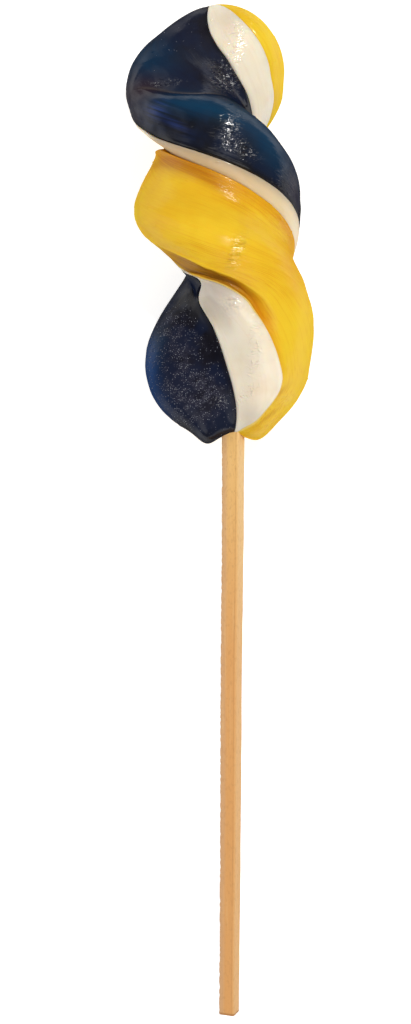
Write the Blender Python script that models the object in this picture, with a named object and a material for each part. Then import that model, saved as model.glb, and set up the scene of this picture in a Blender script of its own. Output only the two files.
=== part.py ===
# A hand-twisted hard candy on a wooden stick, lying on its back.
# Three ropes of candy, blue, white and yellow, are pressed side by side into one bar,
# and the bar is twisted to the left about its length.
# Metres. The candy's tip points along +Y, the side that shows faces +Z.
import math

import bmesh
import bpy
from mathutils import Matrix, Vector

MM = 0.001

# The bar's section: how far it reaches from its middle, every 45 degrees from the yellow edge.
REACH = [
    17.4 * MM,    # yellow edge
    13.3 * MM,    # yellow shoulder
    9.3 * MM,     # white face
    15.3 * MM,    # blue shoulder
    15.7 * MM,    # blue edge
    13.0 * MM,    # blue back
    11.0 * MM,    # white back
    14.5 * MM,    # yellow back
]
DRIFT = 1.7 * MM             # how far the bulk moves from blue to yellow, from tip to base
OFF_CENTRE = (-0.6 * MM, -2.6 * MM)   # the section's middle, away from the axis of the twist

# Where the colours meet, as angles round the section: the white shows wide on the face and
# as a narrow stripe on the back.
WHITE_FACE = (35.6, 70.4)
WHITE_BACK = (-140.0, -128.0)

# The twist in degrees along the bar: slow at both ends, fast between.
TWIST_AT_TIP = -25.0
TWIST_SLOW = 86.0
TWIST_FAST = 578.0
TWIST_FROM = 0.178
TWIST_TO = 0.721
EASE_IN = 0.07
EASE_OUT = 0.10

# The bar's length and its rounded ends: share of the length, and power of the curve.
CANDY_LENGTH = 84.9 * MM
TIP_ROUND = (0.192, 2.0)
BASE_ROUND = (0.304, 3.1)

# The middle line: it leans to the right as it comes down, bows, and bends at the base.
LEAN_AT_TIP = -1.4 * MM
LEAN_AT_BASE = 1.1 * MM
BOW = 1.1 * MM
BASE_BEND = 2.3 * MM
SLOPE = 0.13                 # each section slopes along the bar by this share of its width

# The fold where the twist sets in: a roll of blue lies over the straight tip.
FOLD_AT = 18.1 * MM          # from the tip, on the far left of the face
FOLD_RUN = 6.0 * MM          # how much further from the tip it is on the right
FOLD_DEPTH = 3.2 * MM
FOLD_RISE = 4.4 * MM         # length over which the roll reaches its full height
FOLD_FADE = 6.8 * MM         # length over which the fold fades into the tip
FOLD_MIDDLE = 125.0          # where round the bar the fold is deepest
FOLD_SPREAD = 42.0

STRAND_GAP = 0.3 * MM
REST_CUT = 0.7 * MM          # depth of the flat spots that the candy lies on

# The stick: a tapered square bar with softened edges, turned about its length.
STICK_LENGTH = 146.0 * MM
STICK_INSIDE = 30.0 * MM
STICK_AT_CANDY = 3.8 * MM
STICK_AT_END = 3.2 * MM
STICK_TURN = math.radians(22)
STICK_EDGE = 0.5 * MM
STICK_SIDE = 3.9 * MM         # how far right of the twist axis the inner end is
STICK_STRAY = 1.1 * MM        # how far the stick strays back to the left over its length

# How finely the faceted solids are drawn.
RINGS = 60
ARC_STEP = 9.0
WALL_STEPS = 3
END_CLOSE = 0.006


def soft_ramp(value, ease):
    # Zero below zero and the value itself above, eased where the two meet.
    return ease * math.log(1 + math.exp(value / ease))


def smooth_step(value):
    value = min(max(value, 0.0), 1.0)
    return value * value * (3 - 2 * value)


def round_end(share, length, power):
    # A rounded end: zero at the very end, one from the given length on.
    if share >= length:
        return 1.0
    return (1 - (1 - share / length) ** power) ** (1 / power)


def twist(share):
    # Turn of the section, in radians, at a share of the length from the tip.
    fast = soft_ramp(share - TWIST_FROM, EASE_IN) - soft_ramp(share - TWIST_TO, EASE_OUT)
    return math.radians(TWIST_AT_TIP + TWIST_SLOW * share + TWIST_FAST * fast)


def fold_depth(angle, share):
    # How far the fold draws the surface in: steep where the roll rises, gentle toward the tip.
    facing = angle - twist(share)
    crease = FOLD_AT + FOLD_RUN * ((1 + math.cos(facing)) / 2) ** 2
    past = share * CANDY_LENGTH - crease
    if past > 0:
        rise = min(past / FOLD_RISE, 1.0)
        depth = FOLD_DEPTH * (1 - math.sqrt(1 - (1 - rise) ** 2))
    else:
        depth = FOLD_DEPTH * (1 - smooth_step(-past / FOLD_FADE))
    aside = (math.degrees(facing) - FOLD_MIDDLE + 180) % 360 - 180
    return depth * math.exp(-((aside / FOLD_SPREAD) ** 2))


def outline_reach(angle, share):
    # Reach of the bar's outline: a smooth closed curve through the eight named reaches.
    reach = 0.0
    for step, size in enumerate(REACH):
        offset = angle - step * math.pi / 4
        waves = math.cos(offset) + math.cos(2 * offset) + math.cos(3 * offset)
        reach += size * (1 + 2 * waves + math.cos(4 * offset)) / 8
    reach += DRIFT * (2 * share - 1) * math.cos(angle)
    return reach - fold_depth(angle, share)


def outline_point(angle, share):
    reach = outline_reach(angle, share)
    return Vector((reach * math.cos(angle), reach * math.sin(angle)))


def wall_end(angle, share, toward, side):
    # The outline point beside a colour boundary, half a gap to one side of its wall.
    point = outline_point(angle, share)
    across = (outline_point(toward, share) - point).normalized()
    return point + Vector((-across.y, across.x)) * side * STRAND_GAP / 2


def arc_points(first, last, share, steps):
    # Outline points between two wall ends, which are given as points.
    start = math.atan2(first.y, first.x)
    end = math.atan2(last.y, last.x)
    while end <= start:
        end += 2 * math.pi
    inner = [outline_point(start + (end - start) * i / steps, share) for i in range(1, steps)]
    return [first] + inner + [last]


def wall_points(first, last):
    return [first.lerp(last, i / WALL_STEPS) for i in range(1, WALL_STEPS)]


def blue_section(share):
    white_face = math.radians(WHITE_FACE[1])
    white_back = math.radians(WHITE_BACK[0])
    first = wall_end(white_face, share, white_back, -1)
    last = wall_end(white_back, share, white_face, 1)
    steps = round((360 + WHITE_BACK[0] - WHITE_FACE[1]) / ARC_STEP)
    return arc_points(first, last, share, steps) + wall_points(last, first)


def yellow_section(share):
    white_face = math.radians(WHITE_FACE[0])
    white_back = math.radians(WHITE_BACK[1])
    first = wall_end(white_back, share, white_face, -1)
    last = wall_end(white_face, share, white_back, 1)
    steps = round((WHITE_FACE[0] - WHITE_BACK[1]) / ARC_STEP)
    return arc_points(first, last, share, steps) + wall_points(last, first)


def white_section(share):
    yellow_side = [math.radians(WHITE_BACK[1]), math.radians(WHITE_FACE[0])]
    blue_side = [math.radians(WHITE_FACE[1]), math.radians(WHITE_BACK[0])]
    face_first = wall_end(yellow_side[1], share, yellow_side[0], -1)
    face_last = wall_end(blue_side[0], share, blue_side[1], 1)
    back_first = wall_end(blue_side[1], share, blue_side[0], -1)
    back_last = wall_end(yellow_side[0], share, yellow_side[1], 1)
    face = arc_points(face_first, face_last, share, round((WHITE_FACE[1] - WHITE_FACE[0]) / ARC_STEP))
    back = arc_points(back_first, back_last, share, 2)
    return face + wall_points(face_last, back_first) + back + wall_points(back_last, face_first)


def placed(point, share):
    # A section point turned by the twist, shrunk by the rounded ends and set on the middle line.
    tip = round_end(share, *TIP_ROUND)
    base = round_end(1 - share, *BASE_ROUND)
    angle = twist(share)
    across = point + Vector(OFF_CENTRE)
    side = tip * base * (across.x * math.cos(angle) + across.y * math.sin(angle))
    up = tip * base * (across.y * math.cos(angle) - across.x * math.sin(angle))
    middle = LEAN_AT_TIP + (LEAN_AT_BASE - LEAN_AT_TIP) * share
    middle += BOW * math.sin(math.pi * share) + BASE_BEND * (1 - base)
    along = -CANDY_LENGTH * share + SLOPE * side
    return Vector((middle + side, along, up))


def ring_shares():
    # Stations from tip to base, closer together near both ends.
    shares = []
    for ring in range(RINGS):
        even = END_CLOSE + (1 - 2 * END_CLOSE) * ring / (RINGS - 1)
        eased = (1 - math.cos(math.pi * even)) / 2
        shares.append((even + eased) / 2)
    return shares


def close_end(mesh, ring):
    # A flat fan of triangles over one end, from the middle of its ring.
    middle = sum((corner.co for corner in ring), Vector((0, 0, 0))) / len(ring)
    hub = mesh.verts.new(middle)
    for i, corner in enumerate(ring):
        mesh.faces.new((hub, corner, ring[(i + 1) % len(ring)]))


def strand_mesh(name, section):
    # One rope of candy: its section carried from tip to base, closed at both ends.
    mesh = bmesh.new()
    rings = []
    for share in ring_shares():
        rings.append([mesh.verts.new(placed(point, share)) for point in section(share)])
    for ring, following in zip(rings, rings[1:]):
        for i, corner in enumerate(ring):
            after = (i + 1) % len(ring)
            mesh.faces.new((corner, ring[after], following[after], following[i]))
    close_end(mesh, rings[0])
    close_end(mesh, rings[-1])
    bmesh.ops.triangulate(mesh, faces=mesh.faces)
    bmesh.ops.recalc_face_normals(mesh, faces=mesh.faces)
    data = bpy.data.meshes.new(name)
    mesh.to_mesh(data)
    mesh.free()
    return data


def stick_mesh(name, grow=0.0):
    # The stick, or with some growth the cutter for its socket in the candy.
    inner_end = -CANDY_LENGTH + STICK_INSIDE + grow
    outer_end = inner_end - grow - STICK_LENGTH
    mesh = bmesh.new()
    rings = []
    for place, width, side in (
        (inner_end, STICK_AT_CANDY, STICK_SIDE),
        (outer_end, STICK_AT_END, STICK_SIDE - STICK_STRAY),
    ):
        half = width / 2 + grow
        ring = []
        for corner in range(4):
            angle = STICK_TURN + math.pi / 4 + corner * math.pi / 2
            reach = half * math.sqrt(2)
            ring.append(mesh.verts.new((side + reach * math.cos(angle), place, reach * math.sin(angle))))
        rings.append(ring)
    mesh.faces.new(rings[0])
    mesh.faces.new(reversed(rings[1]))
    for i in range(4):
        after = (i + 1) % 4
        mesh.faces.new((rings[0][i], rings[1][i], rings[1][after], rings[0][after]))
    bmesh.ops.recalc_face_normals(mesh, faces=mesh.faces)
    data = bpy.data.meshes.new(name)
    mesh.to_mesh(data)
    mesh.free()
    return data


def soften_edges(obj):
    bevel = obj.modifiers.new("soft edges", "BEVEL")
    bevel.width = STICK_EDGE
    bevel.segments = 2


def lowest(meshes, tip_half):
    # Lowest point of the candy's back, in the half toward the tip or the half toward the stick.
    middle = -CANDY_LENGTH / 2
    points = [vertex.co for data in meshes for vertex in data.vertices]
    return min((point for point in points if (point.y > middle) == tip_half), key=lambda point: point.z)


def laid_down(meshes):
    # The turn and lift that let the candy's two low spots sink REST_CUT below the ground.
    tip_low = lowest(meshes, True)
    base_low = lowest(meshes, False)
    tilt = math.atan2(tip_low.z - base_low.z, tip_low.y - base_low.y)
    turn = Matrix.Rotation(-tilt, 4, "X")
    lift = -REST_CUT - (turn @ tip_low).z
    return Matrix.Translation((0, 0, lift)) @ turn


def centred(meshes):
    # The shift that brings the middle of the whole lollipop's outline over the origin.
    points = [vertex.co for data in meshes for vertex in data.vertices]
    middle = [(min(p[axis] for p in points) + max(p[axis] for p in points)) / 2 for axis in (0, 1)]
    return Matrix.Translation((-middle[0], -middle[1], 0))


def cut_flat(data):
    # Cuts off what lies below the ground, which leaves a flat spot to rest on.
    mesh = bmesh.new()
    mesh.from_mesh(data)
    geometry = mesh.verts[:] + mesh.edges[:] + mesh.faces[:]
    cut = bmesh.ops.bisect_plane(
        mesh, geom=geometry, plane_co=(0, 0, 0), plane_no=(0, 0, -1), clear_outer=True
    )
    rim = [edge for edge in cut["geom_cut"] if isinstance(edge, bmesh.types.BMEdge)]
    bmesh.ops.holes_fill(mesh, edges=rim)
    mesh.to_mesh(data)
    mesh.free()


def make_material(name, colour, roughness):
    made = bpy.data.materials.new(name)
    made.use_nodes = True
    shader = made.node_tree.nodes["Principled BSDF"]
    shader.inputs["Base Color"].default_value = (*colour, 1)
    shader.inputs["Roughness"].default_value = roughness
    shader.inputs["Metallic"].default_value = 0
    return made


def add_object(name, data, material=None):
    obj = bpy.data.objects.new(name, data)
    bpy.context.collection.objects.link(obj)
    if material:
        data.materials.append(material)
    return obj


def add_socket_cutter(data):
    cutter = add_object("socket_cutter", data)
    soften_edges(cutter)
    cutter.hide_render = True
    cutter.display_type = "WIRE"
    return cutter


def cut_socket(obj, cutter):
    cut = obj.modifiers.new("stick socket", "BOOLEAN")
    cut.operation = "DIFFERENCE"
    cut.solver = "EXACT"
    cut.object = cutter


def clear_scene():
    for obj in list(bpy.data.objects):
        bpy.data.objects.remove(obj)


def main():
    clear_scene()
    strands = {
        "blue_strand": (strand_mesh("blue_strand", blue_section), (0.01, 0.03, 0.08), 0.15),
        "white_strand": (strand_mesh("white_strand", white_section), (0.83, 0.75, 0.66), 0.2),
        "yellow_strand": (strand_mesh("yellow_strand", yellow_section), (0.87, 0.55, 0.03), 0.22),
    }
    candy = [data for data, _, _ in strands.values()]
    stick = stick_mesh("stick")
    socket = stick_mesh("socket_cutter", STRAND_GAP)
    laying = laid_down(candy)
    for data in candy + [stick, socket]:
        data.transform(laying)
    centring = centred(candy + [stick])
    for data in candy + [stick, socket]:
        data.transform(centring)
    cutter = add_socket_cutter(socket)
    for name, (data, colour, roughness) in strands.items():
        cut_flat(data)
        data.shade_smooth()
        data.set_sharp_from_angle(angle=math.radians(50))
        cut_socket(add_object(name, data, make_material(name, colour, roughness)), cutter)
    soften_edges(add_object("stick", stick, make_material("stick", (0.66, 0.39, 0.18), 0.6)))


main()
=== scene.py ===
# A hand-twisted hard candy on a square wooden stick, lying on its back.
# Three ropes of pulled sugar, blue, white and yellow, are pressed into one bar and twisted to the left.
import math

import bpy
from mathutils import Matrix, Vector
from mathutils import noise as hills


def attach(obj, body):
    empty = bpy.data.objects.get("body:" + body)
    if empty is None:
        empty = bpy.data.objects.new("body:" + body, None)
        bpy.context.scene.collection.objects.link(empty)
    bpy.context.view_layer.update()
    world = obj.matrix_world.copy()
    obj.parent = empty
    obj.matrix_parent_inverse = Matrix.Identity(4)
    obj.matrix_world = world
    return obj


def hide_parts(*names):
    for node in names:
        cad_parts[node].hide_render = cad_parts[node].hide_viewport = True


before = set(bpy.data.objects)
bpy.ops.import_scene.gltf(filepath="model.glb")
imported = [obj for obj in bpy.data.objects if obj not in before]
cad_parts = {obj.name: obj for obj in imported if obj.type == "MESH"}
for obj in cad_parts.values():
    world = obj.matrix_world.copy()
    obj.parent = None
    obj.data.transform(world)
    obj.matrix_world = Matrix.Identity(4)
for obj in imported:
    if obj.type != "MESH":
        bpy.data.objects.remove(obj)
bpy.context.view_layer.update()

mm = 0.001
perDegree = math.pi / 180
inDegrees = 180 / math.pi


class Field:
    # a number that varies over a mesh or a material: sums and products of fields become math nodes
    def __init__(self, tree, socket):
        self.tree = tree
        self.socket = socket

    def math(self, operation, *others):
        return mathNode(self.tree, operation, self, *others)

    def __add__(self, other):
        return self.math("ADD", other)

    def __sub__(self, other):
        return self.math("SUBTRACT", other)

    def __rsub__(self, other):
        return mathNode(self.tree, "SUBTRACT", other, self)

    def __mul__(self, other):
        return self.math("MULTIPLY", other)

    def __truediv__(self, other):
        return self.math("DIVIDE", other)

    def __pow__(self, power):
        return self.math("POWER", power)

    def __neg__(self):
        return self.math("MULTIPLY", -1.0)

    __radd__ = __add__
    __rmul__ = __mul__


def plug(tree, socket, value):
    # a field is linked to a socket, and a plain value is set on it
    if isinstance(value, Field):
        tree.links.new(value.socket, socket)
    elif value is not None:
        socket.default_value = value


def filled(tree, node, values):
    # links or sets a node's named sockets
    for label, value in values.items():
        plug(tree, node.inputs[label], value)
    return node


def newNode(tree, kind, **values):
    return filled(tree, tree.nodes.new(kind), values)


def mathNode(tree, operation, *values):
    node = tree.nodes.new("ShaderNodeMath")
    node.operation = operation
    for socket, value in zip(node.inputs, values):
        plug(tree, socket, value)
    return Field(tree, node.outputs[0])


def sine(field):
    return field.math("SINE")


def cosine(field):
    return field.math("COSINE")


def atMost(field, other):
    return field.math("MINIMUM", other)


def atLeast(field, other):
    return field.math("MAXIMUM", other)


def clipped(field):
    return atLeast(atMost(field, 1.0), 0.0)


def wrapped(degrees):
    # a turn brought to between half a turn back and half a turn on
    return degrees.math("WRAP", 180.0, -180.0)


def smooth(field, start, end):
    # zero at start, one at end, eased at both
    share = clipped((field - start) / (end - start))
    return share * share * (3.0 - share * 2.0)


def mixed(first, second, share):
    return first + (second - first) * share


def bell(field, middle, width):
    # one at the middle, falling off to both sides
    off = (field - middle) / width
    return (-(off * off)).math("EXPONENT")


def bend(field, ease):
    # zero below zero and the value itself above, eased where the two meet
    return ((field / ease).math("EXPONENT") + 1.0).math("LOGARITHM", math.e) * ease


def window(share, limits):
    # rises between the first two places along the bar and falls between the last two
    return smooth(share, limits[0], limits[1]) * (1.0 - smooth(share, limits[2], limits[3]))


def xyz(tree, x, y, z):
    node = tree.nodes.new("ShaderNodeCombineXYZ")
    for socket, value in zip(node.inputs, (x, y, z)):
        plug(tree, socket, value)
    return Field(tree, node.outputs[0])


def parts(field):
    node = field.tree.nodes.new("ShaderNodeSeparateXYZ")
    field.tree.links.new(field.socket, node.inputs[0])
    return [Field(field.tree, output) for output in node.outputs]


def noise(place, scale, detail=2.0, rough=0.5, twist=0.0):
    node = newNode(place.tree, "ShaderNodeTexNoise", Vector=place, Scale=scale, Detail=detail,
                   Roughness=rough, Distortion=twist)
    return Field(place.tree, node.outputs[0])


def cloudy(place, size, detail=2.0):
    # an even pattern, its size in mm
    return noise(place, 1 / (size * mm), detail)


def patches(place, spots):
    # soft patches laid on from above: place across and along in mm, how wide and how tall, turn in degrees,
    # and strength
    x, y, _ = parts(place)
    total = None
    for spotX, spotY, wide, tall, turn, strength in spots:
        turnCos, turnSin = math.cos(turn * perDegree), math.sin(turn * perDegree)
        offX, offY = x - spotX * mm, y - spotY * mm
        across = (offX * turnCos + offY * turnSin) / (wide * mm)
        along = (offY * turnCos - offX * turnSin) / (tall * mm)
        spot = (-(across * across + along * along)).math("EXPONENT") * strength
        total = spot if total is None else total + spot
    return clipped(total)


def newTree(name, inputs):
    # a geometry tree with a mesh in and out, and its sizes as named inputs
    tree = bpy.data.node_groups.new(name, "GeometryNodeTree")
    tree.interface.new_socket("Geometry", in_out="OUTPUT", socket_type="NodeSocketGeometry")
    tree.interface.new_socket("Geometry", in_out="INPUT", socket_type="NodeSocketGeometry")
    for label, kind in inputs:
        tree.interface.new_socket(label, in_out="INPUT", socket_type="NodeSocket" + kind)
    return tree, tree.nodes.new("NodeGroupInput"), tree.nodes.new("NodeGroupOutput")


def geometryNode(tree, kind, geometry, **values):
    # one step of a tree: geometry goes through it, and the named sockets are set or linked
    node = newNode(tree, "GeometryNode" + kind, **values)
    tree.links.new(geometry, node.inputs[0])
    return node


def attribute(tree, name):
    node = newNode(tree, "GeometryNodeInputNamedAttribute", Name=name)
    node.data_type = "FLOAT"
    return Field(tree, node.outputs[0])


def keep(tree, geometry, name, value, kind="FLOAT"):
    # stores a field on the points, for the materials
    node = tree.nodes.new("GeometryNodeStoreNamedAttribute")
    node.data_type = kind
    node.domain = "POINT"
    tree.links.new(geometry, node.inputs["Geometry"])
    return filled(tree, node, {"Name": name, "Value": value}).outputs[0]


def runTree(piece, tree, **values):
    # sets the inputs by their identifiers, evaluates once and keeps a plain mesh
    modifier = piece.modifiers.new(tree.name, "NODES")
    modifier.node_group = tree
    known = {item.name: item.identifier for item in tree.interface.items_tree if item.in_out == "INPUT"}
    for label, value in values.items():
        modifier[known[label]] = value
    depsgraph = bpy.context.evaluated_depsgraph_get()
    data = bpy.data.meshes.new_from_object(piece.evaluated_get(depsgraph))
    piece.modifiers.clear()
    piece.data = data
    data.name = piece.name
    return piece


# The twisted bar, in the maker's own frame: tip at zero, length along -Y, the side that shows toward +Z.
bar = {
    "length": 84.9 * mm,
    "reach": [17.4, 13.3, 9.3, 15.3, 15.7, 13.0, 11.0, 14.5],   # mm, every 45 degrees from the yellow edge
    "drift": 1.7 * mm,                  # how far the bulk moves from blue to yellow, tip to base
    "offCentre": (-0.6 * mm, -2.6 * mm),
    "twistAtTip": -25.0,                # degrees
    "slowTwist": 86.0,
    "fastTwist": 578.0,
    "twistFrom": 0.178,                 # shares of the length
    "twistTo": 0.721,
    "easeIn": 0.07,
    "easeOut": 0.10,
    "tipRound": (0.192, 2.0),           # share of the length, power of the curve
    "baseRound": (0.304, 3.1),
    "leanAtTip": -1.4 * mm,
    "leanAtBase": 1.1 * mm,
    "bow": 1.1 * mm,
    "baseBend": 2.3 * mm,
    "slope": 0.13,
    "foldAt": 18.1 * mm,                # the roll of blue that lies over the straight tip
    "foldRun": 6.0 * mm,
    "foldDepth": 3.2 * mm,
    "foldRise": 4.4 * mm,
    "foldFade": 6.8 * mm,
    "foldMiddle": 125.0,                # degrees
    "foldSpread": 42.0,
    "foldEnd": (2.0, 24.0),             # it fades out toward the left edge
    "foldBow": (-28.0, 22.0, 1.3 * mm),  # bowed toward the base: degrees from its middle, width, how far
    "foldLift": (-13.0, 25.0, 1.8 * mm),
    # at every twentieth of the length: how far the sides are pushed out, in mm
    "pushLeft": [-5.6, -2.5, -0.5, -0.2, 0.1, -0.2, -1.3, -1.3, -0.9, -0.1, 0.6, 0.7, -0.0, -0.3,
        -0.0, 0.2, 0.4, 0.3, -0.1, -1.2, -3.0],
    "pushRight": [0.7, 0.2, -0.2, -0.3, 0.3, 0.9, 0.8, 0.0, -0.6, -0.6, -0.1, 0.4, 0.7, 0.2, 0.2,
        0.4, 0.3, 0.3, 0.8, 1.0, 1.3],
    "pushSpread": 55.0,                 # degrees
    # where the colours meet, in degrees round the section from the yellow's end on, and how far each edge
    # strays, at every twentieth of the length
    "edges": (35.6, 70.4, 220.0, 232.0),
    "yellowWhiteStray": [4.6, 1.4, -1.2, -0.8, 2.4, 5.2, 5.1, 3.6, 1.8, 0.5, 4.0, 12.0, 14.0, 3.0,
        -5.1, -1.8, 0.1, 1.2, 2.0, 14.0, 32.0],
    "whiteBlueStray": [-15.0, 9.3, 6.2, -0.6, -3.6, -2.0, 0.0, 1.0, 0.4, -1.6, -8.0, -19.0, -20.6,
        -29.5, 2.0, 0.4, 1.1, 1.8, 0.7, 0.4, 2.4],
    "blueWhiteStray": [-0.1, -0.7, -1.2, -1.6, -1.6, -0.6, 1.1, 1.5, 1.5, -0.7, -4.7, -5.3, -4.2,
        -2.6, -1.4, -0.5, -0.0, 0.2, 0.2, 0.2, 0.1],
    "whiteYellowStray": [-0.9, -0.5, 0.1, 1.0, 2.5, 4.6, 7.0, 8.6, 9.2, 10.6, 12.2, 12.1, 9.9, 6.6,
        3.5, 1.4, 0.2, -0.3, -0.5, -0.5, -0.4],
    # the base hangs lower in two places: place across, width and drop in mm
    "sags": [(-1.6, 2.6, 1.9), (8.8, 3.4, 2.3)],
    "tipLift": 0.35 * mm,
}

# How the bar lies: turned about X, lifted, and moved so that the whole lollipop is centred.
lying = {"tilt": 0.76677 * perDegree, "move": (-0.839 * mm, 100.402 * mm, 16.173 * mm)}
layDown = Matrix.Translation(lying["move"]) @ Matrix.Rotation(lying["tilt"], 4, "X")


def outlineReach(angle):
    # the smooth closed outline through the eight reaches, as its waves round the section
    sizes = bar["reach"]
    reach = sum(sizes) / 8 * mm
    for wave in (1, 2, 3, 4):
        weight = (1 if wave == 4 else 2) / 8 * mm
        turns = [(size, wave * step * math.pi / 4) for step, size in enumerate(sizes)]
        alongCos = sum(size * math.cos(turn) for size, turn in turns) * weight
        alongSin = sum(size * math.sin(turn) for size, turn in turns) * weight
        reach = reach + cosine(angle * wave) * alongCos
        if wave < 4:
            reach = reach + sine(angle * wave) * alongSin
    return reach


def alongCurve(share, values, unit=1.0):
    # a smooth curve through values at even steps of the length
    node = share.tree.nodes.new("ShaderNodeFloatCurve")
    span = 2.2 * max(abs(value) for value in values)
    curve = node.mapping.curves[0]
    last = len(values) - 1
    curve.points[0].location = (0, 0.5 + values[0] / span)
    curve.points[1].location = (1, 0.5 + values[-1] / span)
    for step in range(1, last):
        curve.points.new(step / last, 0.5 + values[step] / span)
    node.mapping.update()
    plug(share.tree, node.inputs["Value"], share)
    return (Field(share.tree, node.outputs[0]) - 0.5) * (span * unit)


def strayedAngle(angle, share):
    # the angle moved with the colour edges, evenly between one edge and the next
    edges = [*bar["edges"], bar["edges"][0] + 360]
    strays = [alongCurve(share, bar[edge + "Stray"])
              for edge in ("yellowWhite", "whiteBlue", "blueWhite", "whiteYellow")]
    degrees = (angle * inDegrees).math("WRAP", edges[4], edges[0])
    moved = strays[0]
    for i in range(4):
        part = clipped((degrees - edges[i]) / (edges[i + 1] - edges[i]))
        moved = moved + (strays[(i + 1) % 4] - strays[i]) * part
    return angle + moved * perDegree


def twistAt(share):
    # a slow turn all along, and a fast one between the tip and the base
    fast = bend(share - bar["twistFrom"], bar["easeIn"]) - bend(share - bar["twistTo"], bar["easeOut"])
    return (share * bar["slowTwist"] + fast * bar["fastTwist"] + bar["twistAtTip"]) * perDegree


def roundEnd(share, length, power):
    # how full the section is, from nothing at the end to one at this share of the length
    inside = 1.0 - clipped(1.0 - share / length) ** power
    return inside ** (1 / power)


def foldDepth(facing, share, length, depth):
    # the crease above the roll: steep where the roll rises, gentle toward the tip
    run = (cosine(facing) + 1.0) * 0.5
    aside = wrapped(facing * inDegrees - bar["foldMiddle"])
    bowAt, bowWidth, bow = bar["foldBow"]
    liftFrom, liftTo, lift = bar["foldLift"]
    start = run * run * bar["foldRun"] + bell(aside, bowAt, bowWidth) * bow
    start = start - smooth(aside, liftFrom, liftTo) * lift
    past = share * length - (start + bar["foldAt"])
    rise = 1.0 - clipped(past / bar["foldRise"])
    above = 1.0 - (1.0 - rise * rise).math("SQRT")
    below = 1.0 - smooth(-past, 0.0, bar["foldFade"])
    spread = bell(aside, 0.0, bar["foldSpread"]) * (1.0 - smooth(aside, *bar["foldEnd"]))
    over = past.math("GREATER_THAN", 0.0)
    return mixed(below, above, over) * spread * depth, past, spread


# Relief on the twisted bar. Angles are round the section, in degrees, and other sizes in mm.
relief = {
    "heights": {
        "Pillow Height": 3.2, "Lip Rim": 0.3, "Neck Depth": 1.6, "Notch Depth": 2.8,
        "Lump Height": 0.22, "Dimple Height": 0.07, "Line Height": 0.05, "Burr Height": 0.30,
    },
    "pillow": {"angle": 44.5, "width": 11.5, "window": (0.60, 0.74, 0.92, 0.99)},
    # the lip where the yellow folds over itself, and the hollow below it, at every twentieth of the length
    "lipAngle": [18, 18, 18, 18, 18, 18, 18, 18, 18, 18, 16, 12.5, 11.5, 20.0, 25.6, 26.3, 31.0,
        33.5, 34, 34, 34],
    "lipDepth": [0, 0, 0, 0, 0, 0, 0, 0, 0, 0, 0.0, 0.25, 1.0, 1.5, 1.9, 1.9, 1.5, 1.0, 0.6, 0.3,
        0.0],
    "lipWidth": [2, 2, 2, 2, 2, 2, 2, 2, 2, 2, 2, 1.3, 1.2, 2.0, 5.0, 10.0, 12.0, 12, 12, 12, 12],
    # the white strip sinks in here beside the yellow's left corner
    "neck": {"from": 224.5, "to": 231.0, "until": 232.0, "toward": 155.0, "spread": 32.0},
    # and the yellow is nicked above that corner
    "notch": {"toward": 174.0, "spread": 42.0, "lean": 0.00044, "window": (0.282, 0.304, 0.329, 0.333)},
    "lumpSize": 9.0, "dimpleSize": 2.6, "burrSize": 0.9,
    "lineWidth": 0.7, "lineStretch": 26.0,
    "seed": 0,
}


def lipRelief(degrees, share, rimHeight):
    # the yellow's folded lip: a drop behind the lip, then a hollow that rises again to the white
    lip = alongCurve(share, relief["lipAngle"])
    depth = alongCurve(share, relief["lipDepth"], mm)
    width = alongCurve(share, relief["lipWidth"])
    past = wrapped(degrees - lip)
    room = bar["edges"][0] - lip
    drop = smooth(past, width * -0.5, width * 0.5)
    rise = smooth(past, room * 0.4, room * 1.02)
    sharp = clipped((4.0 - width) / 2.5)
    rim = bell(past, -1.6, 1.6) * sharp * smooth(share, 0.53, 0.6) * rimHeight
    shaded = drop * (1.0 - smooth(past, room * 0.72, room * 0.93))
    # painted shade: a dark line along the lip's crease
    creaseShade = bell(past, 0.2, 1.1) * clipped(depth * 2.0 / mm) * sharp
    return rim - depth * (drop * (1.0 - rise)), shaded * clipped(depth / mm), creaseShade


def neckDip(degrees, facing, share, given):
    # the white strip's dip and the yellow's notch, both on the left side
    neck, notch = relief["neck"], relief["notch"]
    onward = degrees.math("WRAP", 360.0, 0.0)
    aside = wrapped(facing - neck["toward"])
    dip = smooth(onward, neck["from"], neck["to"]) * bell(aside, 0.0, neck["spread"]) * given["Neck Depth"]
    level = share + aside * notch["lean"]
    behind = wrapped(facing - notch["toward"])
    nick = window(level, notch["window"]) * bell(behind, 0.0, notch["spread"]) * given["Notch Depth"]
    return mixed(nick, dip, onward.math("LESS_THAN", neck["until"]))


def handMarked(tree, reach, given, x, y, z):
    # what pulling and rolling by hand leaves: lumps, dimples, fine lines along the rope and a few burrs
    even = xyz(tree, x + given["Seed"], y, z)
    drawn = xyz(tree, x + given["Seed"], y / relief["lineStretch"], z)
    lumps = cloudy(even, relief["lumpSize"], 1.0) - 0.5
    dimples = cloudy(even, relief["dimpleSize"]) - 0.5
    lines = noise(drawn, 1 / (relief["lineWidth"] * mm), 2.0, 0.6) - 0.5
    burrs = smooth(cloudy(even, relief["burrSize"], 1.0), 0.73, 0.82)
    reach = reach + lumps * (given["Lump Height"] * 2.0) + dimples * (given["Dimple Height"] * 2.0)
    return reach + lines * (given["Line Height"] * 2.0) + burrs * given["Burr Height"]


def grooveDip(side, width, depth):
    # the rounded groove where a rope meets its neighbour
    near = 1.0 - clipped(side / width)
    return (1.0 - (1.0 - near * near).math("SQRT")) * depth


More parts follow.
